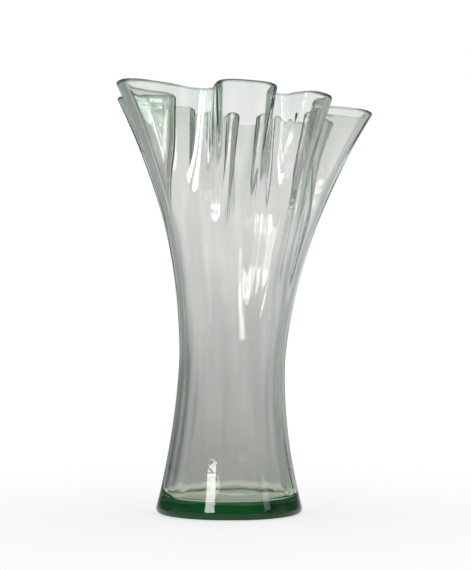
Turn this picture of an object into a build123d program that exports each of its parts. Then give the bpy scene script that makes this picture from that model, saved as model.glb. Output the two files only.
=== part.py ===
from build123d import *
import math
import os

os.makedirs("parts", exist_ok=True)

# Driving sizes of the vase, in millimetres. The origin is the middle of the foot, on the table.
HEIGHT = 278.0            # table to the middle of the mouth
FOOT_RADIUS = 50.6        # outline at the table, before its edge is rounded
WAIST_RADIUS = 36.5
WAIST_HEIGHT = 102.0
MOUTH_RADIUS = 67.5       # middle line of the ruffle at the rim
LOBE_REACH = 97.0         # tip of the furthest lobe, from the middle of the mouth
MOUTH_LEAN = 13.5         # sideways drift of the mouth from the foot
BASE_THICKNESS = 10.0     # solid glass under the inner floor
FOOT_WALL = 5.2           # wall at the floor
RIM_WALL = 3.6            # wall at the lip
LIP_HEIGHT = 6.0
LIP_ROUNDING = 1.6
FOOT_ROUNDING = 3.5
FLOOR_ROUNDING = 8.0      # inside corner between floor and wall
COLLAR_HEIGHT = 2.0       # upright rim of the foot's gather, above that rounding

# How the outline bends between those sizes.
FOOT_FLARE = 1.9
MOUTH_FLARE = 1.45
RUFFLE_FLARE = 2.5
LEAN_BEND = 1.7
OPTIC_SHARE = 0.02        # part of the ruffle that stays as faint ribs below the waist
SHOULDER_SHARE = 0.96     # reach of a lobe's two shoulders against its tip
FOLD_SHARE = 0.13         # half the width of a fold's bottom against the gap between two lobes

# The eight lobes, anticlockwise from the right: the direction of the tip and half the width of the lobe,
# in degrees, then the reach of the tip and of the fold after it as shares of LOBE_REACH.
LOBE_SHARES = [
    (2.0, 10.0, 0.88, 0.44),
    (45.0, 8.0, 0.83, 0.44),
    (92.0, 6.5, 0.89, 0.44),
    (121.0, 6.5, 0.74, 0.60),
    (161.0, 9.0, 1.00, 0.56),
    (203.0, 8.0, 0.98, 0.50),
    (269.0, 14.0, 0.75, 0.47),
    (313.0, 8.0, 0.75, 0.54),
]
FULL_TURN = 360.0
QUARTER_TURN = 90.0

SECTION_COUNT = 14        # spans between the loft sections of each part of the wall
LIP_STEP_COUNT = 4        # facets of the lip's rounding

# Where the pieces meet: foot and lower wall, lower wall and fan, fan and lip.
base_height = BASE_THICKNESS + FLOOR_ROUNDING + COLLAR_HEIGHT
lip_bottom = HEIGHT - LIP_HEIGHT
fan_bottom = (base_height + lip_bottom) / 2


def climb(height, start):
    """Share of the way from a start height to the rim, nothing below it."""
    return max(0.0, height - start) / (HEIGHT - start)


def section_plane(height):
    """Plane across the vase, square to the axis, which bends sideways above the base."""
    rise = climb(height, base_height)
    drift = MOUTH_LEAN * rise**LEAN_BEND
    slope = MOUTH_LEAN * LEAN_BEND * rise ** (LEAN_BEND - 1) / (HEIGHT - base_height)
    return Plane(origin=(drift, 0, height), x_dir=(1, 0, -slope), z_dir=(slope, 0, 1))


def body_radius(height):
    """Middle line of the ruffle: a flared foot, a waist and a flared mouth."""
    drop = max(0.0, WAIST_HEIGHT - height) / WAIST_HEIGHT
    rise = climb(height, WAIST_HEIGHT)
    foot_part = (FOOT_RADIUS - WAIST_RADIUS) * drop**FOOT_FLARE
    mouth_part = (MOUTH_RADIUS - WAIST_RADIUS) * rise**MOUTH_FLARE
    return WAIST_RADIUS + foot_part + mouth_part


def wall_thickness(height):
    """The wall thins evenly from the floor to the lip."""
    return FOOT_WALL + (RIM_WALL - FOOT_WALL) * climb(height, BASE_THICKNESS)


def ruffle_turns():
    """Direction and reach, at the rim, of the points that steer the ruffle: seven to a lobe and its fold."""
    turns = []
    for i, (tip, half_width, reach_share, fold_share) in enumerate(LOBE_SHARES):
        next_tip, next_half_width, next_reach_share, _ = LOBE_SHARES[(i + 1) % len(LOBE_SHARES)]
        if next_tip < tip:
            next_tip += FULL_TURN
        gap_start = tip + half_width
        gap_end = next_tip - next_half_width
        gap = gap_end - gap_start
        reach = reach_share * LOBE_REACH
        shoulder = SHOULDER_SHARE * reach
        next_shoulder = SHOULDER_SHARE * next_reach_share * LOBE_REACH
        fold = fold_share * LOBE_REACH
        fold_start = gap_start + (0.5 - FOLD_SHARE) * gap
        fold_end = gap_start + (0.5 + FOLD_SHARE) * gap
        turns.append((tip - half_width, shoulder))
        turns.append((tip, reach))
        turns.append((gap_start, shoulder))
        turns.append(((gap_start + fold_start) / 2, (shoulder + fold) / 2))
        turns.append((fold_start, fold))
        turns.append((fold_end, fold))
        turns.append(((fold_end + gap_end) / 2, (fold + next_shoulder) / 2))
    return turns


def outer_points(height):
    """The outer skin's section: a circle at the base, faint ribs above it and full lobes at the rim."""
    ribs = OPTIC_SHARE * climb(height, base_height)
    growth = ribs + (1 - OPTIC_SHARE) * climb(height, WAIST_HEIGHT) ** RUFFLE_FLARE
    points = []
    for direction, reach in ruffle_turns():
        radius = body_radius(height) + growth * (reach - MOUTH_RADIUS)
        angle = math.radians(direction)
        points.append(Vector(radius * math.cos(angle), radius * math.sin(angle)))
    return points


def spline_steps():
    """Running places of the steering points along a section, by the root of their distances at the rim."""
    rim = outer_points(HEIGHT)
    steps = [0.0]
    for point, next_point in zip(rim, rim[1:] + rim[:1]):
        steps.append(steps[-1] + math.sqrt((next_point - point).length))
    return steps


def inset_points(points, steps, inset):
    """The points of a closed outline, moved square to it, inwards."""
    moved = []
    for i, point in enumerate(points):
        before = points[i - 1]
        after = points[(i + 1) % len(points)]
        step_before = steps[i] - steps[i - 1] if i else steps[-1] - steps[-2]
        step_after = steps[i + 1] - steps[i]
        along = (point - before) * (step_after / step_before) + (after - point) * (step_before / step_after)
        moved.append(point + Axis.Z.direction.cross(along.normalized()) * inset)
    return moved


def section(height, inset):
    """A closed outline across the vase, lying inside the outer skin by the inset."""
    steps = spline_steps()
    points = inset_points(outer_points(height), steps, inset)
    return section_plane(height) * Wire(Edge.make_spline(points, periodic=True, parameters=steps))


def stations(bottom, top):
    """Heights of the loft sections, evenly up a part of the wall."""
    return [bottom + (top - bottom) * i / SECTION_COUNT for i in range(SECTION_COUNT + 1)]


def rounding_steps():
    """Depth under the rim and retreat from the skin of the steps that round the lip."""
    steps = []
    for i in range(LIP_STEP_COUNT + 1):
        angle = math.radians(QUARTER_TURN * i / LIP_STEP_COUNT)
        steps.append((LIP_ROUNDING * (1 - math.sin(angle)), LIP_ROUNDING * (1 - math.cos(angle))))
    return steps


base_radius = body_radius(base_height)
base_bore = base_radius - wall_thickness(base_height)

# Foot: the thick gather, turned, with a flat underside and a rounded inner floor.
with BuildPart() as base_pad:
    with BuildSketch(Plane.XZ) as base_profile:
        with BuildLine():
            Polyline((FOOT_RADIUS, 0), (0, 0), (0, BASE_THICKNESS), (base_bore, BASE_THICKNESS),
                     (base_bore, base_height), (base_radius, base_height))
            ThreePointArc((base_radius, base_height), (body_radius(base_height / 2), base_height / 2),
                          (FOOT_RADIUS, 0))
        make_face()
        floor_corners = base_profile.vertices().filter_by_position(Axis.Y, BASE_THICKNESS, BASE_THICKNESS)
        fillet(floor_corners.sort_by(Axis.X)[-1], FLOOR_ROUNDING)
        fillet(base_profile.vertices().sort_by(Axis.X)[-1], FOOT_ROUNDING)
    revolve(axis=Axis.Z)

# Lower wall: the blown tube from the foot over the waist, less the space inside it.
waist_stations = stations(base_height, fan_bottom)
with BuildPart() as waist_wall:
    add(Solid.make_loft([section(h, 0) for h in waist_stations]))
    add(Solid.make_loft([section(h, wall_thickness(h)) for h in waist_stations]), mode=Mode.SUBTRACT)

# Fan: the upper wall, opened out into the flutes, less the space inside it.
fan_stations = stations(fan_bottom, lip_bottom)
with BuildPart() as fan_wall:
    add(Solid.make_loft([section(h, 0) for h in fan_stations]))
    add(Solid.make_loft([section(h, wall_thickness(h)) for h in fan_stations]), mode=Mode.SUBTRACT)

# Space inside the lip, which opens out in a rounding at the rim and runs past both ends.
lip_steps = rounding_steps()
below_lip = lip_bottom - LIP_HEIGHT
above_lip = HEIGHT + LIP_HEIGHT
with BuildPart() as lip_space:
    straight_part = [section(h, wall_thickness(h)) for h in (below_lip, lip_bottom)]
    rounded_part = [section(HEIGHT - depth, RIM_WALL - retreat) for depth, retreat in lip_steps]
    overrun = section(above_lip, RIM_WALL - LIP_ROUNDING)
    add(Solid.make_loft(straight_part + rounded_part + [overrun], ruled=True))

# Fire-polished lip, rounded along both of its top edges.
with BuildPart() as rim_bead:
    rounded_part = [section(HEIGHT - depth, retreat) for depth, retreat in lip_steps]
    add(Solid.make_loft([section(lip_bottom, 0)] + rounded_part, ruled=True))
    add(lip_space.part, mode=Mode.SUBTRACT)

base_pad.part.label = "base_pad"
waist_wall.part.label = "waist_wall"
fan_wall.part.label = "fan_wall"
rim_bead.part.label = "rim_bead"

export_step(base_pad.part, "parts/base_pad.step")
export_step(waist_wall.part, "parts/waist_wall.step")
export_step(fan_wall.part, "parts/fan_wall.step")
export_step(rim_bead.part, "parts/rim_bead.step")
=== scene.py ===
# %% [markdown]
# # A ruffled glass vase
# The vase is one piece of hand-blown recycled glass. A thick green foot carries a slim waist, and the
# wall then opens into a fan of eight uneven lobes. This lesson builds the glass as one closed skin with
# Geometry Nodes, gives it a glass finish that turns green where the bottom is thick, and sets it in plain
# studio light.

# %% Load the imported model
import math

import bmesh
import bpy
from mathutils import Matrix, Vector


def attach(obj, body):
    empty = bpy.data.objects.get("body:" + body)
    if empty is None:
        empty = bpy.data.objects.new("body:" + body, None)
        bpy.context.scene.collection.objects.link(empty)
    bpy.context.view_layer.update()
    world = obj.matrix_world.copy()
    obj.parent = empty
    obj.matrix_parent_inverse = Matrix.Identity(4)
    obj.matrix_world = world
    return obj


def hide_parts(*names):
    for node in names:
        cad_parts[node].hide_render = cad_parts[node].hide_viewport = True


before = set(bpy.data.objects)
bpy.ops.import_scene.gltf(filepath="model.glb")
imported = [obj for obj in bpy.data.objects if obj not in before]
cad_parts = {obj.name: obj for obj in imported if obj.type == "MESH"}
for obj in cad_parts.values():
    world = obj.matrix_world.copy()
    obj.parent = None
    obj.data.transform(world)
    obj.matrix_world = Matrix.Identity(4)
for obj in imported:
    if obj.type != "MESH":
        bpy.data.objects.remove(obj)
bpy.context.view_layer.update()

# %% [markdown]
# ## The camera
# The photograph looks slightly up at the vase from a little above table height: the floor of the vase
# shows as a thin ellipse, and the near lobes stand higher than the far ones. A long lens from under a
# metre away gives that. The camera is tilted rather than shifted, so that other views stay centred.

# %% Camera
CAMERA_PLACE = (0.0041, -0.853, 0.1006)
CAMERA_TILT = 93.51        # degrees from looking straight down
LENS = 79.4                # millimetres, like the sensor's width
SENSOR_WIDTH = 36
camera = bpy.data.objects.new("camera", bpy.data.cameras.new("camera"))
bpy.context.scene.collection.objects.link(camera)
camera.location = CAMERA_PLACE
camera.rotation_euler = (math.radians(CAMERA_TILT), 0, 0)
camera.data.lens = LENS
camera.data.sensor_width = SENSOR_WIDTH
bpy.context.scene.camera = camera
bpy.context.scene.view_settings.view_transform = "Standard"
print("camera at", tuple(round(c, 3) for c in camera.location))

# %% [markdown]
# ## Sizes
# The visual skin follows the same sizes as the solids, in metres, so it needs no fitting. Each size is
# named for the part of the vase that it sets. Only the inside corner of the floor is tighter than in the
# solids, and the flutes are softer.

# %% Sizes of the vase
MM = 0.001
HEIGHT = 278 * MM          # table to the middle of the mouth
FOOT_RADIUS = 50.6 * MM
WAIST_RADIUS = 36.5 * MM
WAIST_HEIGHT = 102 * MM
MOUTH_RADIUS = 67.5 * MM   # middle line of the ruffle at the rim
LOBE_REACH = 97 * MM       # tip of the furthest lobe
MOUTH_LEAN = 13.5 * MM
BASE_THICKNESS = 10 * MM
BASE_HEIGHT = 20 * MM
FOOT_WALL = 5.2 * MM
RIM_WALL = 3.6 * MM
FOOT_ROUNDING = 3.5 * MM
FLOOR_ROUNDING = 3.2 * MM
FOOT_FLARE = 1.9
MOUTH_FLARE = 1.45
RUFFLE_FLARE = 2.5
LEAN_BEND = 1.7
FAINT_RIBS = 0.02          # share of the ruffle that stays below the waist
print("height", HEIGHT, "m, mouth", round(2 * MOUTH_RADIUS, 4), "m across its middle line")

# %% [markdown]
# ## The crimped rim, seen from above
# The maker pulled the hot rim out into lobes and pressed folds between them. Eight lobes, each with its
# own direction, width and reach, steer the whole fan. They could be drawn by hand as a curve. Here each
# lobe gives seven points of a closed loop (two shoulders, a tip, two flanks and the two sides of the
# fold), so a lobe is changed by changing four numbers.

# %% Steering points of the rim
LOBES = [  # direction of the tip and half its width in degrees, reach of tip and of the next fold
    (2, 10, 0.88, 0.44),
    (45, 8, 0.83, 0.44),
    (92, 6.5, 0.89, 0.44),
    (121, 6.5, 0.74, 0.60),
    (161, 9, 1.00, 0.56),
    (203, 8, 0.98, 0.50),
    (269, 14, 0.75, 0.47),
    (313, 8, 0.75, 0.54),
]
SHOULDER = 0.96            # reach of a lobe's shoulders against its tip
FOLD_WIDTH = 0.13          # half the width of a fold's bottom against the gap between two lobes


def rim_points():
    """The loop of points that the rim runs through, as seen from above."""
    points = []
    for (tip, half, reach, fold), (next_tip, next_half, next_reach, _) in zip(LOBES, LOBES[1:] + LOBES[:1]):
        start, end = tip + half, next_tip - next_half + (360 if next_tip < tip else 0)
        fold_start = start + (0.5 - FOLD_WIDTH) * (end - start)
        fold_end = start + (0.5 + FOLD_WIDTH) * (end - start)
        shoulder, next_shoulder = SHOULDER * reach, SHOULDER * next_reach
        points += [
            (tip - half, shoulder), (tip, reach), (start, shoulder),
            ((start + fold_start) / 2, (shoulder + fold) / 2), (fold_start, fold), (fold_end, fold),
            ((fold_end + end) / 2, (fold + next_shoulder) / 2),
        ]
    return [(r * LOBE_REACH * math.cos(math.radians(a)), r * LOBE_REACH * math.sin(math.radians(a)), 0)
            for a, r in points]


def wire_object(name, points, closed):
    """A mesh of points joined in a line, which a node tree reads."""
    edges = [(i, i + 1) for i in range(len(points) - 1)] + ([(len(points) - 1, 0)] if closed else [])
    mesh = bpy.data.meshes.new(name)
    mesh.from_pydata(points, edges, [])
    obj = bpy.data.objects.new(name, mesh)
    bpy.context.scene.collection.objects.link(obj)
    return obj


vase = wire_object("fan_vase", rim_points(), closed=True)
print("rim steered by", len(vase.data.vertices), "points")

# %% [markdown]
# ## The path of the cross-section
# Cut the vase in half and follow the edge of the glass: from the middle of the underside round the foot,
# up the outer skin, over the rounded lip, down the inner skin and across the inner floor. Each step of
# that path becomes one ring of the mesh. A step is stored as a point that holds its height, how far it
# lies inside the outer skin, and how full the ring is (nothing at the middle of a disc).

# %% Height, inset and fill of every ring
UNDER_RINGS = 5            # steps of the path across the underside
ROUNDING_RINGS = 10        # round the foot's edge, and round the floor's corner
OUTER_RINGS = 86           # up the outer skin
LIP_RINGS = 12             # over the lip
INNER_RINGS = 84           # down the inner skin
FLOOR_RINGS = 6            # across the inner floor


def body_radius(height):
    drop = max(0, WAIST_HEIGHT - height) / WAIST_HEIGHT
    rise = max(0, height - WAIST_HEIGHT) / (HEIGHT - WAIST_HEIGHT)
    return (WAIST_RADIUS + (FOOT_RADIUS - WAIST_RADIUS) * drop**FOOT_FLARE
            + (MOUTH_RADIUS - WAIST_RADIUS) * rise**MOUTH_FLARE)


def wall(height):
    return FOOT_WALL + (RIM_WALL - FOOT_WALL) * max(0, height - BASE_THICKNESS) / (HEIGHT - BASE_THICKNESS)


def spread(start, end, count):
    return [start + (end - start) * i / count for i in range(count + 1)]


def section_path():
    lean = math.atan(FOOT_FLARE * (FOOT_RADIUS - WAIST_RADIUS) / WAIST_HEIGHT)  # of the wall at the table
    foot_centre = FOOT_RADIUS - FOOT_ROUNDING / math.tan((math.pi / 2 - lean) / 2)
    floor_top = BASE_THICKNESS + FLOOR_ROUNDING
    bore = body_radius(floor_top) - wall(floor_top)
    lip = RIM_WALL / 2
    path = [(0, FOOT_RADIUS - foot_centre, fill) for fill in spread(0, 1, UNDER_RINGS)]
    for turn in spread(-math.pi / 2, lean, ROUNDING_RINGS)[1:]:
        z = FOOT_ROUNDING * (1 + math.sin(turn))
        path.append((z, body_radius(z) - foot_centre - FOOT_ROUNDING * math.cos(turn), 1))
    path += [(z, 0, 1) for z in spread(path[-1][0], HEIGHT - lip, OUTER_RINGS)[1:]]
    for turn in spread(0, math.pi, LIP_RINGS)[1:-1]:
        path.append((HEIGHT - lip + lip * math.sin(turn), lip - lip * math.cos(turn), 1))
    path += [(z, wall(z), 1) for z in spread(HEIGHT - lip, floor_top, INNER_RINGS)]
    for turn in spread(0, -math.pi / 2, ROUNDING_RINGS)[1:]:
        z = floor_top + FLOOR_ROUNDING * math.sin(turn)
        path.append((z, body_radius(z) - bore + FLOOR_ROUNDING * (1 - math.cos(turn)), 1))
    return path + [(path[-1][0], path[-1][1], fill) for fill in spread(1, 0, FLOOR_RINGS)[1:]]


path_guide = wire_object("section_path", section_path(), closed=False)
print("rings:", len(path_guide.data.vertices))

# %% [markdown]
# ## The node tree
# The glass follows one rule: at every height the outline of the rim is drawn in towards a circle, most at
# the waist and not at all at the lip. Geometry Nodes suit that. Each step of the path gets its own smooth
# outline, and Set Position moves every point of a grid to its place on one. Small helpers keep the
# arithmetic readable.

# %% Tree, inputs and arithmetic helpers
tree = bpy.data.node_groups.new("blown_glass", "GeometryNodeTree")
tree.interface.new_socket("Geometry", in_out="INPUT", socket_type="NodeSocketGeometry")
tree.interface.new_socket("Geometry", in_out="OUTPUT", socket_type="NodeSocketGeometry")
INPUTS = [
    ("Section Path", "NodeSocketObject", path_guide), ("Points per Span", "NodeSocketInt", 7),
    ("Height", "NodeSocketFloat", HEIGHT), ("Foot Radius", "NodeSocketFloat", FOOT_RADIUS),
    ("Waist Radius", "NodeSocketFloat", WAIST_RADIUS), ("Waist Height", "NodeSocketFloat", WAIST_HEIGHT),
    ("Mouth Radius", "NodeSocketFloat", MOUTH_RADIUS), ("Mouth Lean", "NodeSocketFloat", MOUTH_LEAN),
    ("Base Height", "NodeSocketFloat", BASE_HEIGHT), ("Foot Flare", "NodeSocketFloat", FOOT_FLARE),
    ("Mouth Flare", "NodeSocketFloat", MOUTH_FLARE), ("Ruffle Flare", "NodeSocketFloat", RUFFLE_FLARE),
    ("Lean Bend", "NodeSocketFloat", LEAN_BEND), ("Faint Ribs", "NodeSocketFloat", FAINT_RIBS),
    ("Mould Ribs", "NodeSocketInt", 24), ("Rib Depth", "NodeSocketFloat", 0.08 * MM),
    ("Waviness", "NodeSocketFloat", 0.5 * MM), ("Seed", "NodeSocketInt", 4),
    ("Glass", "NodeSocketMaterial", None),
]
for name, kind, _ in INPUTS:
    tree.interface.new_socket(name, in_out="INPUT", socket_type=kind)
group_in = tree.nodes.new("NodeGroupInput")


def node(kind, inputs=None, **settings):
    """Adds a node, sets its properties, and links or fills its inputs by name or number."""
    made = tree.nodes.new(kind)
    for key, value in settings.items():
        setattr(made, key, value)
    for key, value in (inputs or {}).items():
        if isinstance(value, bpy.types.NodeSocket):
            tree.links.new(value, made.inputs[key])
        else:
            made.inputs[key].default_value = value
    return made


def size(name):
    return group_in.outputs[name]


def calc(operation, a, b=0.0):
    return node("ShaderNodeMath", {0: a, 1: b}, operation=operation).outputs[0]


def vec(operation, a, b=(0, 0, 0)):
    return node("ShaderNodeVectorMath", {0: a, 1: b}, operation=operation).outputs[0]


def scaled(vector, factor):
    return node("ShaderNodeVectorMath", {0: vector, "Scale": factor}, operation="SCALE").outputs[0]


def ramp(value, low, high):
    """Nothing up to low, 1 from high on, and smooth between."""
    return node("ShaderNodeMapRange", {"Value": value, "From Min": low, "From Max": high},
                interpolation_type="SMOOTHSTEP").outputs["Result"]


def parts_of(vector):
    return node("ShaderNodeSeparateXYZ", {0: vector}).outputs


def joined(x, y, z):
    return node("ShaderNodeCombineXYZ", {0: x, 1: y, 2: z}).outputs[0]


print("inputs of the tree:", len(INPUTS))

# %% [markdown]
# Three rules shape a ring. The body's middle radius swells to the foot and to the mouth. The ruffle grows
# from almost nothing at the base to its full reach at the lip. The axis drifts to one side as it climbs.
# A ring finds its height in the path, by its number.

# %% How a ring changes with its height
place = node("GeometryNodeInputPosition").outputs[0]
number = node("GeometryNodeInputIndex").outputs[0]
rim_loop = group_in.outputs["Geometry"]
path = node("GeometryNodeObjectInfo", {"Object": size("Section Path")}).outputs["Geometry"]
spans = node("GeometryNodeAttributeDomainSize", {0: rim_loop}).outputs["Point Count"]
rows = node("GeometryNodeAttributeDomainSize", {0: path}).outputs["Point Count"]


def sample(points, index, value=place):
    return node("GeometryNodeSampleIndex", {"Geometry": points, "Value": value, "Index": index},
                data_type="FLOAT_VECTOR", domain="POINT").outputs[0]


def divided(count):
    """The whole times that a count goes into a point's number, and what is left over."""
    times = calc("FLOOR", calc("DIVIDE", calc("ADD", number, 0.5), count))
    return times, calc("ROUND", calc("SUBTRACT", number, calc("MULTIPLY", times, count)))


def climb(height, start):
    over = calc("MAXIMUM", calc("SUBTRACT", height, start), 0)
    return calc("DIVIDE", over, calc("SUBTRACT", size("Height"), start))


def middle_radius(height):
    under = calc("MAXIMUM", calc("SUBTRACT", size("Waist Height"), height), 0)
    drop = calc("POWER", calc("DIVIDE", under, size("Waist Height")), size("Foot Flare"))
    rise = calc("POWER", climb(height, size("Waist Height")), size("Mouth Flare"))
    foot = calc("MULTIPLY", calc("SUBTRACT", size("Foot Radius"), size("Waist Radius")), drop)
    mouth = calc("MULTIPLY", calc("SUBTRACT", size("Mouth Radius"), size("Waist Radius")), rise)
    return calc("ADD", calc("ADD", size("Waist Radius"), foot), mouth)


def ruffle_growth(height):
    faint = calc("MULTIPLY", size("Faint Ribs"), climb(height, size("Base Height")))
    full = calc("POWER", climb(height, size("Waist Height")), size("Ruffle Flare"))
    return calc("ADD", faint, calc("MULTIPLY", calc("SUBTRACT", 1, size("Faint Ribs")), full))


print("nodes so far:", len(tree.nodes))

# %% [markdown]
# Every ring gets its own copy of the rim's points, each on its own ray and at the ring's radius. Points
# to Curves strings them into one closed curve for each ring, with automatic handles, so that no ring has
# corners. The evaluated points are the columns of the skin.

# %% One smooth outline for each ring
ring, knot = divided(spans)
ring_height = parts_of(sample(path, ring))[0]
steer = sample(rim_loop, knot)
reach = node("ShaderNodeVectorMath", {0: steer}, operation="LENGTH").outputs["Value"]
ruffle = calc("MULTIPLY", ruffle_growth(ring_height), calc("SUBTRACT", reach, size("Mouth Radius")))
knot_place = scaled(vec("NORMALIZE", steer), calc("ADD", middle_radius(ring_height), ruffle))
knot_count = calc("MULTIPLY", rows, spans)
knots = node("GeometryNodePoints", {"Count": knot_count, "Position": knot_place}).outputs[0]
loops = node("GeometryNodePointsToCurves",
             {"Points": knots, "Curve Group ID": ring, "Weight": knot}).outputs[0]
loops = node("GeometryNodeSetSplineCyclic", {"Geometry": loops, "Cyclic": True}).outputs[0]
loops = node("GeometryNodeCurveSplineType", {"Curve": loops}, spline_type="BEZIER").outputs[0]
loops = node("GeometryNodeCurveSetHandles", {"Curve": loops}, handle_type="AUTO",
             mode={"LEFT", "RIGHT"}).outputs[0]
loops = node("GeometryNodeSetSplineResolution",
             {"Geometry": loops, "Resolution": size("Points per Span")}).outputs[0]
outlines = node("GeometryNodeCurveToPoints", {"Curve": loops}, mode="EVALUATED")
print("nodes so far:", len(tree.nodes))

# %% [markdown]
# Hot glass keeps a crisp fold only where the tool pressed it, at the lip. Further down the folds melt
# into soft flutes, and at the waist the tube is almost round again. Each point of a lower outline is
# therefore mixed from two averages of its neighbours: a near one, which keeps the flutes but not their
# corners, and a far one, which keeps only the roundness. Averaging draws the lobes in, so both are opened
# again by as much.

# %% Folds that melt into flutes
NEAR = {-10: 1, -5: 2, 0: 3, 5: 2, 10: 1}         # points away along the outline, and their weight
FAR = {step: 5 - abs(step) // 7 for step in range(-28, 29, 7)}
NEAR_GAIN = 1.28
LOBE_SWELL = 20 * MM       # how far a lobe stands out from the far average, at the rim
SOFTEN = (150 * MM, 190 * MM)      # heights between which the lower flutes soften
SHARPEN = (185 * MM, 255 * MM)     # heights between which the upper flutes sharpen
CRISP = (195 * MM, 272 * MM)       # heights between which the folds turn crisp
SOFT_SHARE = 0.4                   # least share of the near average, where the flutes are softest
LOW_SHARE = 0.45                   # what the share gains below, and above
HIGH_SHARE = 0.6
columns = calc("MULTIPLY", spans, size("Points per Span"))


def mixed(factor, a, b):
    return node("ShaderNodeMix", {"Factor": factor, 4: a, 5: b}, data_type="VECTOR").outputs[1]


def on_ring(points, ring, spot, step=0, value=place):
    """What a ring's outline has some points further on."""
    spot = calc("ROUND", calc("FLOORED_MODULO", calc("ADD", spot, step), columns))
    return sample(points, calc("ADD", calc("MULTIPLY", ring, columns), spot), value)


ring_number, ring_spot = divided(columns)
ring_level = parts_of(sample(path, ring_number))[0]


def average(weights):
    """Average of a ring's outline along itself, with its distance from the axis."""
    total = (0, 0, 0)
    for step, weight in weights.items():
        neighbour = on_ring(outlines.outputs["Points"], ring_number, ring_spot, step)
        total = vec("ADD", total, scaled(neighbour, weight / sum(weights.values())))
    return total, node("ShaderNodeVectorMath", {0: total}, operation="LENGTH").outputs["Value"]


near, near_reach = average(NEAR)
_, far_reach = average(FAR)
middle = middle_radius(ring_level)
fluted = calc("ADD", middle, calc("MULTIPLY", calc("SUBTRACT", near_reach, middle), NEAR_GAIN))
rounded = calc("ADD", far_reach, calc("MULTIPLY", ruffle_growth(ring_level), LOBE_SWELL))
low_flutes = calc("MULTIPLY", calc("SUBTRACT", 1, ramp(ring_level, *SOFTEN)), LOW_SHARE)
high_flutes = calc("MULTIPLY", ramp(ring_level, *SHARPEN), HIGH_SHARE)
flute_share = calc("ADD", calc("ADD", low_flutes, high_flutes), SOFT_SHARE)
melted_reach = calc("ADD", rounded, calc("MULTIPLY", calc("SUBTRACT", fluted, rounded), flute_share))
melted = scaled(vec("NORMALIZE", near), melted_reach)
crisp = ramp(ring_level, *CRISP)
flutes = node("GeometryNodeSetPosition", {"Geometry": outlines.outputs["Points"],
                                          "Position": mixed(crisp, melted, place)}).outputs[0]
print("nodes so far:", len(tree.nodes))

# %% [markdown]
# A grid is the skin laid flat, one column for each point of an outline and one row for each ring. Its
# points are numbered column by column, so a division tells each point where it is. The inner skin lies
# square to the outline, by the wall's thickness, which keeps the wall even in the folds, where a plain
# smaller copy of the outline would pinch. Its direction comes from two points some way apart, because
# soft glass rounds off the inside of a bend, and from the exact tangent only at the lip.

# %% Columns and rows of the skin
SOFT_BEND = 5              # columns to each side that set the direction of the inner skin
sheet = node("GeometryNodeMeshGrid",
             {"Vertices X": calc("ADD", columns, 1), "Vertices Y": rows}).outputs["Mesh"]
column, row = divided(rows)
height, inset, fill = parts_of(sample(path, row))[:3]
skin = on_ring(flutes, row, column)
tight = vec("NORMALIZE", on_ring(outlines.outputs["Points"], row, column, 0, outlines.outputs["Tangent"]))
wide = vec("NORMALIZE", vec("SUBTRACT", on_ring(flutes, row, column, SOFT_BEND),
                            on_ring(flutes, row, column, -SOFT_BEND)))
inwards = vec("NORMALIZE", vec("CROSS_PRODUCT", (0, 0, 1), mixed(ruffle_growth(height), wide, tight)))
print("nodes so far:", len(tree.nodes))

# %% [markdown]
# Blown glass is never even. The mould left two dozen soft ribs on the inside, and the wall's thickness
# wanders by a few tenths of a millimetre, which is what makes straight reflections wobble. The inner
# floor's edge dips and rises in a slow wave of its own. Noise with a fixed seed gives the wandering,
# stretched along the height as it is in glass that was drawn out. The outer skin only moves inwards, so
# the vase keeps its size.

# %% Ribs and waves of the blown wall
INSIDE_FROM = (1 * MM, 3 * MM)     # insets between which the inner skin begins
WAVES_FROM = (8 * MM, 20 * MM)     # heights between which the waves begin
RIB_WANDER = 2.5                   # how far a rib strays, as an angle of its wave
OUTER_SHARE = 0.4                  # waviness of the outer skin against the inner
STRETCH = 0.3                      # height counts less than width in the noise
EDGE_STARTS = (10 * MM, 13 * MM)   # heights between which the floor's edge begins and ends
EDGE_ENDS = (15 * MM, 30 * MM)
RIB_FADE = (70 * MM, 130 * MM)     # heights between which the ribs end
FLOOR_WAVE = 3.2 * MM              # most rise and dip of the inner floor's edge
on_inside = ramp(inset, *INSIDE_FROM)
off_floor = ramp(height, *WAVES_FROM)
skin_x, skin_y = parts_of(skin)[:2]
turn = calc("ARCTAN2", skin_y, skin_x)
where = joined(skin_x, skin_y, calc("MULTIPLY", height, STRETCH))


def wander(offset, scale):
    """Noise between -1 and 1 that changes slowly over the glass."""
    settings = {"Vector": where, "W": calc("ADD", size("Seed"), offset), "Scale": scale, "Detail": 1.0}
    waves = node("ShaderNodeTexNoise", settings, noise_dimensions="4D").outputs[0]
    return calc("MULTIPLY", calc("SUBTRACT", waves, 0.5), 2)


rib_wave = calc("COSINE", calc("ADD", calc("MULTIPLY", turn, size("Mould Ribs")),
                               calc("MULTIPLY", wander(offset=3.7, scale=14), RIB_WANDER)))
rib_fade = calc("SUBTRACT", 1, ramp(height, *RIB_FADE))
rib_push = calc("MULTIPLY", calc("MULTIPLY", rib_wave, size("Rib Depth")), rib_fade)
inner_push = calc("ADD", calc("MULTIPLY", wander(offset=0.0, scale=30), size("Waviness")), rib_push)
outer_depth = calc("MULTIPLY", size("Waviness"), OUTER_SHARE)
outer_push = calc("MULTIPLY", calc("ADD", wander(offset=9.1, scale=26), 1), outer_depth)
push = calc("ADD", calc("MULTIPLY", inner_push, on_inside),
            calc("MULTIPLY", outer_push, calc("SUBTRACT", 1, on_inside)))
moved = calc("ADD", inset, calc("MULTIPLY", push, off_floor))
edge_dip = calc("MULTIPLY", calc("MULTIPLY", ramp(height, *EDGE_STARTS),
                                 calc("SUBTRACT", 1, ramp(height, *EDGE_ENDS))), on_inside)
dip = calc("MULTIPLY", calc("MULTIPLY", wander(offset=5.2, scale=55), FLOOR_WAVE), edge_dip)
print("nodes so far:", len(tree.nodes))

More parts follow.
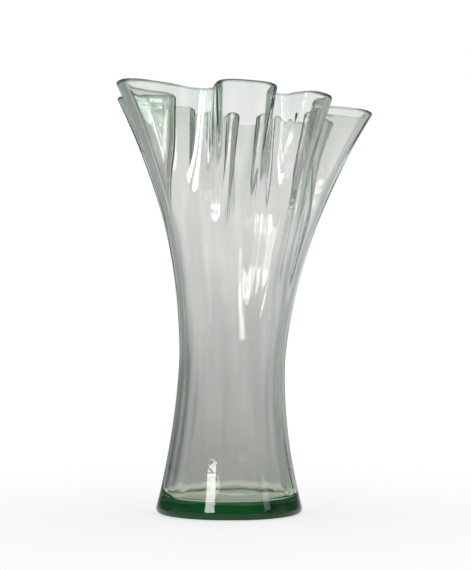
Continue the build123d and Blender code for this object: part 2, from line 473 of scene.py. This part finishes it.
# %% [markdown]
# The ring is now laid square to the leaning axis, as a glass section would be cut, and the grid takes its
# shape. The first and last columns meet and the discs close at their middles, so merging by distance
# leaves one watertight skin. The tree ends in Realize Instances and Set Material.

# %% Lay the rings on the leaning axis and close the skin
from_base = climb(height, size("Base Height"))
drift = calc("MULTIPLY", size("Mouth Lean"), calc("POWER", from_base, size("Lean Bend")))
slope = calc("DIVIDE", calc("MULTIPLY", calc("MULTIPLY", size("Mouth Lean"), size("Lean Bend")),
                            calc("POWER", from_base, calc("SUBTRACT", size("Lean Bend"), 1))),
             calc("SUBTRACT", size("Height"), size("Base Height")))
flat = scaled(vec("ADD", skin, scaled(inwards, moved)), fill)
flat_x, flat_y = parts_of(flat)[:2]
across = vec("NORMALIZE", joined(1, 0, calc("MULTIPLY", slope, -1)))
centre = joined(drift, 0, calc("ADD", height, dip))
target = vec("ADD", vec("ADD", centre, scaled(across, flat_x)), joined(0, flat_y, 0))
shaped = node("GeometryNodeSetPosition", {"Geometry": sheet, "Position": target}).outputs[0]
shaped = node("GeometryNodeMergeByDistance", {"Geometry": shaped, "Distance": 0.002 * MM}).outputs[0]
shaped = node("GeometryNodeSetShadeSmooth", {"Geometry": shaped}).outputs[0]
shaped = node("GeometryNodeRealizeInstances", {"Geometry": shaped}).outputs[0]
shaped = node("GeometryNodeSetMaterial", {"Geometry": shaped, "Material": size("Glass")}).outputs[0]
node("NodeGroupOutput", {"Geometry": shaped})
print("nodes in the tree:", len(tree.nodes))

# %% [markdown]
# ## The glass finish
# Recycled bottle glass is clear in a thin wall and green where it is thick, because of a little iron. The
# real green comes from depth alone. Here a weak absorption inside the glass greens long paths, and the
# colour of the surface, read from the height, deepens the thick bottom, so that viewers that don't trace
# light through the glass show the green foot too. The grey of the body is painted shade: a tint of the
# wall, darkest low down and fading towards the mouth, stands in for the dimmer surroundings seen through
# the glass. It is a little pink, which balances the green of two walls. A pale band of painted light
# marks the edge of the inner floor.

# %% Glass material
COLOUR_SPAN = 280 * MM     # height that the colour stops are shares of
COLOUR_WOBBLE = 3 * MM     # how far the edges of the colours wander up and down
DRAWN_OUT = (1, 1, 0.12)   # stretches the streaks along the height
STREAK_SCALE = 85.0
WOBBLE_SCALE = 45.0
STREAK_TONE = (0.3, 0.7, 0.93, 1.05)   # range of the noise, then the brightness at its ends
# Painted shade and light: the greys darken the wall towards the bottom, and the two pale stops paint a
# bright band at the edge of the inner floor.
PAINTED_LIGHT_BY_HEIGHT = [      # share of that height, and colour
    (0.0, (0.61, 0.59, 0.53)), (0.0395, (0.62, 0.60, 0.54)), (0.046, (0.99, 0.95, 0.86)),
    (0.054, (0.99, 0.95, 0.86)), (0.063, (0.655, 0.634, 0.63)),
    (0.16, (0.678, 0.644, 0.645)), (0.32, (0.734, 0.705, 0.705)), (0.446, (0.798, 0.767, 0.768)),
    (0.625, (0.929, 0.881, 0.888)), (0.857, (0.924, 0.891, 0.893)), (0.936, (0.886, 0.866, 0.859)),
    (0.985, (0.83, 0.847, 0.821)),
]
glass = bpy.data.materials.new("recycled_glass")
glass.use_nodes = True
glass.node_tree.nodes.clear()


def paint(owner, kind, inputs=None, **settings):
    """Adds a shader node to a material or to the world, like node() above."""
    made = owner.node_tree.nodes.new(kind)
    for key, value in settings.items():
        setattr(made, key, value)
    for key, value in (inputs or {}).items():
        if isinstance(value, bpy.types.NodeSocket):
            owner.node_tree.links.new(value, made.inputs[key])
        else:
            made.inputs[key].default_value = value
    return made


def sums(owner, operation, a, b=0.0, c=0.0):
    """One step of arithmetic between shader values."""
    return paint(owner, "ShaderNodeMath", {0: a, 1: b, 2: c}, operation=operation).outputs[0]


def fading(owner, value, low, high, start, end, bend="SMOOTHSTEP"):
    """A change from start to end while the value goes from low to high."""
    limits = {"From Min": low, "From Max": high, "To Min": start, "To Max": end}
    made = paint(owner, "ShaderNodeMapRange", {"Value": value, **limits}, interpolation_type=bend)
    return made.outputs["Result"]


def speckle(vector, scale, detail):
    """Noise over the glass."""
    settings = {"Vector": vector, "Scale": scale, "Detail": detail}
    return paint(glass, "ShaderNodeTexNoise", settings).outputs[0]


def colour_stops(ramp_node, stops):
    elements = ramp_node.color_ramp.elements
    while len(elements) < len(stops):
        elements.new(1.0)
    for element, (position, colour) in zip(elements, stops):
        element.position, element.color = position, (*colour, 1)


here = paint(glass, "ShaderNodeTexCoord").outputs["Object"]
_, to_back, up = paint(glass, "ShaderNodeSeparateXYZ", {0: here}).outputs[:3]
drawn = paint(glass, "ShaderNodeMapping", {"Vector": here, "Scale": DRAWN_OUT}).outputs[0]
streaks = speckle(drawn, STREAK_SCALE, detail=1.0)
patches = speckle(here, WOBBLE_SCALE, detail=2.0)
wobble = sums(glass, "MULTIPLY_ADD", patches, COLOUR_WOBBLE, -COLOUR_WOBBLE / 2)
level = sums(glass, "ADD", up, wobble)
# This ramp paints shade by height, and the pale band of painted light.
painted_light_ramp = paint(glass, "ShaderNodeValToRGB", {0: sums(glass, "DIVIDE", level, COLOUR_SPAN)})
colour_stops(painted_light_ramp, PAINTED_LIGHT_BY_HEIGHT)
tone = fading(glass, streaks, *STREAK_TONE, "LINEAR")
painted_light_and_streaks = paint(glass, "ShaderNodeVectorMath", {0: painted_light_ramp.outputs[0], "Scale": tone},
                  operation="SCALE").outputs[0]
print("colour stops of the wall:", len(PAINTED_LIGHT_BY_HEIGHT))

# %% [markdown]
# The foot is green on its outside and paler underneath. Its skin lies further from the middle than the
# inner floor, so the distance from the axis tells them apart, and the height ends the green near the
# floor. At the back it ends a little lower, so that the painted pale band of light at the edge of the
# inner floor shows before it.

# %% Green foot
FOOT_GREEN = (0.002, 0.062, 0.012, 1)
UNDER_TINT = (0.68, 0.54, 0.52, 1)     # balances the green of the absorption
FOOT_SKIN = (44 * MM, 45.5 * MM)       # distances from the axis between which the outside begins
GREEN_TOP = (9.2 * MM, 11 * MM)        # heights between which the green ends
BACK_DROP = 3.5 * MM                   # how much lower it ends at the back
BACK_FROM = (-10 * MM, 30 * MM)        # distances to the back between which it drops
UNDERSIDE = (0.5 * MM, 1.5 * MM)       # heights between which the underside ends


def tint(factor, a, b):
    made = paint(glass, "ShaderNodeMix", {0: factor}, data_type="RGBA")
    for socket, colour in ((6, a), (7, b)):
        if isinstance(colour, tuple):
            made.inputs[socket].default_value = colour
        else:
            glass.node_tree.links.new(colour, made.inputs[socket])
    return made.outputs[2]


out_flat = paint(glass, "ShaderNodeVectorMath", {0: here, 1: (1, 1, 0)}, operation="MULTIPLY").outputs[0]
off_axis = paint(glass, "ShaderNodeVectorMath", {0: out_flat}, operation="LENGTH").outputs["Value"]
outside = fading(glass, off_axis, *FOOT_SKIN, 0.0, 1.0)
foot_level = sums(glass, "ADD", level, fading(glass, to_back, *BACK_FROM, 0.0, BACK_DROP))
in_foot = sums(glass, "MULTIPLY", fading(glass, foot_level, *GREEN_TOP, 1.0, 0.0), outside)
# The base colour mixes the painted shade and painted pale band with the pale underside and the green foot.
tint_and_painted_light = tint(fading(glass, up, *UNDERSIDE, 1.0, 0.0), painted_light_and_streaks, UNDER_TINT)
tint_and_painted_light = tint(in_foot, tint_and_painted_light, FOOT_GREEN)
print("nodes in the glass so far:", len(glass.node_tree.nodes))

# %% [markdown]
# Seeds are tiny bubbles, rare and round. They and the streaks only tilt the surface a little, and the
# foot has stronger ripples. Roughness stays near nothing on the wall, as on fire-polished glass. It rises
# on the scuffed underside, and on the top of the lip, which softens the dark line that a clear edge would
# show.

# %% Seeds, streaks and scuffs
SEED_CELLS = 95.0          # scale of the cells that may hold a seed
SEED_SIZE = (0.05, 0.11)   # distances in a cell between which a seed ends
SEED_LUCK = 0.9            # only a cell with more luck than this has a seed
SEED_RELIEF = 0.5          # height of a seed against the streaks
RIPPLE_SCALE = 200.0
RIPPLES = (1.2, 0.05)      # strength on the foot and on the wall
RIPPLES_END = (30 * MM, 50 * MM)       # heights between which they weaken
LIP_STARTS = 2.6 * MM      # below the top of the lip
LIP_FULL = 1.0 * MM        # likewise, where the lip is fully dull
SCRATCH_SCALE = 900.0
SCUFFS_END = (0.2 * MM, 1.2 * MM)      # heights between which the scuffs end
POLISHED = 0.004           # roughness of the wall
RIM_DULL = 0.3             # roughness of the lip's top
SCUFFED = 0.4              # most roughness of the underside
ABSORPTION = (0.108, 0.676, 0.378, 1)
cells = paint(glass, "ShaderNodeTexVoronoi", {"Vector": here, "Scale": SEED_CELLS})
seed_round = fading(glass, cells.outputs["Distance"], *SEED_SIZE, 1.0, 0.0, "LINEAR")
cell_luck = paint(glass, "ShaderNodeSeparateColor", {0: cells.outputs["Color"]}).outputs[0]
seeds = sums(glass, "MULTIPLY", seed_round, sums(glass, "GREATER_THAN", cell_luck, SEED_LUCK))
relief = sums(glass, "MULTIPLY_ADD", seeds, SEED_RELIEF, streaks)
ripple_share = fading(glass, up, *RIPPLES_END, *RIPPLES)
relief = sums(glass, "MULTIPLY_ADD", speckle(here, RIPPLE_SCALE, detail=2.0), ripple_share, relief)
bump = paint(glass, "ShaderNodeBump", {"Height": relief, "Strength": 0.12, "Distance": 0.4 * MM}).outputs[0]
rim_slope = MOUTH_LEAN * LEAN_BEND / (HEIGHT - BASE_HEIGHT)
rim_top = HEIGHT + rim_slope * MOUTH_LEAN
along = paint(glass, "ShaderNodeVectorMath", {0: here, 1: (rim_slope, 0, 1)},
              operation="DOT_PRODUCT").outputs["Value"]
polish = fading(glass, along, rim_top - LIP_STARTS, rim_top - LIP_FULL, POLISHED, RIM_DULL)
scuffs = fading(glass, up, *SCUFFS_END, SCUFFED, 0.0, "LINEAR")
dull = sums(glass, "MULTIPLY_ADD", scuffs, speckle(here, SCRATCH_SCALE, detail=2.0), polish)
surface = paint(glass, "ShaderNodeBsdfPrincipled", {
    "Base Color": tint_and_painted_light, "Roughness": dull, "Normal": bump, "IOR": 1.5, "Metallic": 0.0,
    "Transmission Weight": 1.0}).outputs[0]
inside = paint(glass, "ShaderNodeVolumeAbsorption", {"Color": ABSORPTION, "Density": 22.0}).outputs[0]
paint(glass, "ShaderNodeOutputMaterial", {"Surface": surface, "Volume": inside})
print("nodes in the glass:", len(glass.node_tree.nodes))

# %% [markdown]
# ## From rule to mesh
# The modifier's inputs are set by their identifiers before the object is evaluated for the first time.
# The evaluated result then becomes a plain mesh, and the modifier and the guide path go. A closed skin
# that points outwards encloses a positive volume, which is a quick test of both.

# %% Blow the glass
modifier = vase.modifiers.new("blown_glass", "NODES")
modifier.node_group = tree
identifiers = {item.name: item.identifier for item in tree.interface.items_tree if item.in_out == "INPUT"}
for name, _, value in INPUTS:
    modifier[identifiers[name]] = glass if name == "Glass" else value
bpy.context.view_layer.update()
blown = bpy.data.meshes.new_from_object(vase.evaluated_get(bpy.context.evaluated_depsgraph_get()))
vase.modifiers.remove(modifier)
vase.data = blown
blown.name = "fan_vase"
bpy.data.objects.remove(path_guide)

shell = bmesh.new()
shell.from_mesh(blown)
if shell.calc_volume(signed=True) < 0:
    bmesh.ops.reverse_faces(shell, faces=shell.faces)
open_edges = sum(1 for edge in shell.edges if len(edge.link_faces) != 2)
print("volume", round(shell.calc_volume(signed=True) * 1e6, 1), "ml of glass, open edges", open_edges,
      "faces", len(shell.faces))
shell.to_mesh(blown)
shell.free()

# %% [markdown]
# ## Floor and light
# The photograph shows the vase cut out on white. A wide pale floor fades into a white world, and a window
# to the front left draws the tall highlights. The room beside and before the vase is greyer than what is
# behind it, because clear glass shows its edges only where they bend in something darker.

# %% Floor
FLOOR_RADIUS = 6.0
FLOOR_DROP = 0.3 * MM      # keeps the floor and the underside from lying in one plane
floor_mesh = bpy.data.meshes.new("floor")
disc = bmesh.new()
bmesh.ops.create_circle(disc, cap_ends=True, segments=96, radius=FLOOR_RADIUS)
disc.to_mesh(floor_mesh)
disc.free()
floor_mesh.transform(Matrix.Translation((0, 0, -FLOOR_DROP)))
floor = bpy.data.objects.new("floor", floor_mesh)
bpy.context.scene.collection.objects.link(floor)
print("floor laid")

# %% [markdown]
# The surroundings are one simple function of direction: white behind the vase, grey at the sides and in
# front, a dim room in front above the table, and a pale ceiling. Rays that the glass only mirrors see the
# far side darker, which keeps the ends of the foot deep green. The world shows all this to rays that
# leave the glass, and the floor fades into it with distance. The camera sees plain white, so there is no
# horizon. Close to the vase the floor is partly matt card and keeps a soft shadow.

# %% Surroundings
PLAIN_LIGHT = 0.85         # the world's light on matt things
FLOOR_PALE = 0.9
CEILING = 0.9
DIM_ROOM = 0.82            # how much darker the room in front is
DIM_FAR_SIDE = 0.8         # how much darker the far side is for mirrored rays
ROOM_RISE = (0.11, 0.26)    # upward part of the directions between which the room dims
CEILING_RISE = (0.5, 0.75)  # and between which the ceiling begins
HORIZON = (0.0, 0.06)       # and between which the far side dims for mirrored rays
FRONT_ENDS = (0.2, 0.7)     # backward part of the directions between which the front ends
FAR_SIDE_FROM = (0.0, 0.3)  # and between which the far side begins
ROUND_THE_VASE = [         # greys from the front round by the left, the back and the right to the front
    (0.0, 0.50), (0.25, 0.55), (0.36, 0.40), (0.43, 0.34), (0.456, 0.74), (0.474, 1.0),
    (0.526, 1.0), (0.548, 0.80), (0.585, 0.56), (0.65, 0.56), (0.75, 0.62), (1.0, 0.50),
]


def blended(owner, factor, a, b):
    return paint(owner, "ShaderNodeMix", {0: factor, 2: a, 3: b}).outputs[0]


def without(owner, value, share):
    """The value less a share of itself."""
    return sums(owner, "MULTIPLY", value, sums(owner, "SUBTRACT", 1.0, share))


def surroundings(owner, direction, mirrored):
    """Brightness of what lies in a direction, as glass shows it."""
    x, y, z = paint(owner, "ShaderNodeSeparateXYZ", {0: direction}).outputs[:3]
    round_share = fading(owner, sums(owner, "ARCTAN2", x, y), -math.pi, math.pi, 0.0, 1.0, "LINEAR")
    greys = paint(owner, "ShaderNodeValToRGB", {0: round_share})
    colour_stops(greys, [(stop, (grey,) * 3) for stop, grey in ROUND_THE_VASE])
    in_front = fading(owner, y, *FRONT_ENDS, 1.0, 0.0)
    dim_room = sums(owner, "MULTIPLY", fading(owner, z, *ROOM_RISE, 0.0, DIM_ROOM), in_front)
    far_side = sums(owner, "MULTIPLY", fading(owner, y, *FAR_SIDE_FROM, 0.0, DIM_FAR_SIDE),
                    fading(owner, z, *HORIZON, 0.0, 1.0))
    walls = without(owner, greys.outputs[0], dim_room)
    walls = without(owner, walls, sums(owner, "MULTIPLY", mirrored, far_side))
    return blended(owner, fading(owner, z, *CEILING_RISE, 0.0, 1.0), walls, CEILING)


def ray_kinds(owner):
    """Masks of the camera's rays, those that pass through glass, all that meet glass, and mirrored ones."""
    rays = paint(owner, "ShaderNodeLightPath").outputs
    glossy, passing = rays["Is Glossy Ray"], rays["Is Transmission Ray"]
    by_glass = sums(owner, "MAXIMUM", glossy, passing)
    return rays["Is Camera Ray"], passing, by_glass, sums(owner, "SUBTRACT", glossy, passing)


world = bpy.data.worlds.new("studio")
bpy.context.scene.world = world
world.use_nodes = True
world.node_tree.nodes.clear()
ray = paint(world, "ShaderNodeTexCoord").outputs["Generated"]
by_camera, _, by_glass, mirrored = ray_kinds(world)
shown = blended(world, by_glass, PLAIN_LIGHT, surroundings(world, ray, mirrored))
shown = blended(world, by_camera, shown, 1.0)
sky = paint(world, "ShaderNodeBackground", {"Color": (1, 1, 1, 1), "Strength": shown}).outputs[0]
paint(world, "ShaderNodeOutputWorld", {"Surface": sky})
print("nodes in the world:", len(world.node_tree.nodes))

# %% [markdown]
# The floor's card is partly matt near the vase. With distance it turns into plain emission, white for the
# camera and the greys of the surroundings for glass, so that no edge of the floor shows.

# %% Pale card
SEEN_FADE = (0.07, 0.45, 0.65, 1.0)    # distances from the vase, then how much the floor glows there
MIRRORED_FADE = (0.06, 0.30, 0.1, 1.0)  # the same for mirrored rays
GREY_FROM = (0.15, 0.6)                # distances between which it takes the greys of the surroundings
card = bpy.data.materials.new("pale_card")
card.use_nodes = True
card.node_tree.nodes.clear()
spot = paint(card, "ShaderNodeTexCoord").outputs["Object"]
away = paint(card, "ShaderNodeVectorMath", {0: spot}, operation="LENGTH").outputs["Value"]
by_camera, passing, by_glass, mirrored = ray_kinds(card)
seen_fade = sums(card, "MULTIPLY", fading(card, away, *SEEN_FADE),
                 sums(card, "MAXIMUM", by_camera, passing))
mirrored_fade = fading(card, away, *MIRRORED_FADE)
fade = blended(card, mirrored, seen_fade, mirrored_fade)
direction = paint(card, "ShaderNodeVectorMath", {0: spot}, operation="NORMALIZE").outputs[0]
greyed = sums(card, "MULTIPLY", fading(card, away, *GREY_FROM, 0.0, 1.0), by_glass)
far_light = blended(card, greyed, 1.0, surroundings(card, direction, mirrored))
matt = paint(card, "ShaderNodeBsdfDiffuse", {"Color": (FLOOR_PALE, FLOOR_PALE, FLOOR_PALE, 1)}).outputs[0]
far = paint(card, "ShaderNodeEmission", {"Strength": far_light}).outputs[0]
blend = paint(card, "ShaderNodeMixShader", {0: fade, 1: matt, 2: far}).outputs[0]
paint(card, "ShaderNodeOutputMaterial", {"Surface": blend})
floor.data.materials.append(card)
print("nodes in the card:", len(card.node_tree.nodes))

# %% [markdown]
# The window's place comes from its reflections. The bright streak on the flared foot stands left of the
# middle, and a mirror there points about thirty degrees to the left of the camera and well above it. The
# window's dimmer upper part shows in the fan. A small lamp nearby, further left, draws the two arms of
# the highlight above the waist, where the inside of the far wall faces it. A dim window far to the right
# gives the faint blue streak, and a large soft light overhead evens out the floor, which the other lights
# leave alone.

# %% Windows, lamp and overhead light
WINDOW_BEARING = math.radians(28)      # to the left of the camera
WINDOW_AWAY = 1.45
SKY_BLUE = (0.85, 0.93, 1.0)


def soft_light(name, shape, place, aim, width, tall, brightness):
    """A flat light whose power goes with its size, turned to face a point."""
    data = bpy.data.lights.new(name, "AREA")
    data.shape, data.size, data.size_y = shape, width, tall
    data.energy = brightness * math.pi * width * tall
    obj = bpy.data.objects.new(name, data)
    bpy.context.scene.collection.objects.link(obj)
    obj.location = place
    obj.rotation_euler = (Vector(aim) - Vector(place)).to_track_quat("-Z", "Y").to_euler()
    return obj


window_x = -math.sin(WINDOW_BEARING) * WINDOW_AWAY
window_y = -math.cos(WINDOW_BEARING) * WINDOW_AWAY
LIGHTS = [                 # name, shape, place, point that it faces, width, height and brightness
    ("window", "RECTANGLE", (window_x, window_y, 0.615), (0, 0, 0.05), 0.40, 0.39, 12),
    ("upper_window", "ELLIPSE", (window_x, window_y, 0.92), (0, 0, 0.2), 0.62, 0.50, 4.2),
    ("lamp", "ELLIPSE", (-0.386, -0.299, 0.345), (0.012, 0.035, 0.155), 0.13, 0.14, 9),
    ("far_window", "RECTANGLE", (1.25, -0.62, 0.62), (0, 0, 0.1), 0.36, 0.5, 1.8),
    ("overhead", "RECTANGLE", (0.2, 0.3, 1.7), (0, 0, 0), 1.6, 1.6, 0.7),
]
lights = {row[0]: soft_light(*row) for row in LIGHTS}
lights["far_window"].data.color = SKY_BLUE
lights["lamp"].visible_camera = False
for name in ("window", "upper_window", "lamp", "far_window"):
    lights[name].visible_diffuse = False
print("lights:", len(lights))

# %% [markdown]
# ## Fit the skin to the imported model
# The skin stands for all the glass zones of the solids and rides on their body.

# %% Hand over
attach(vase, "root")
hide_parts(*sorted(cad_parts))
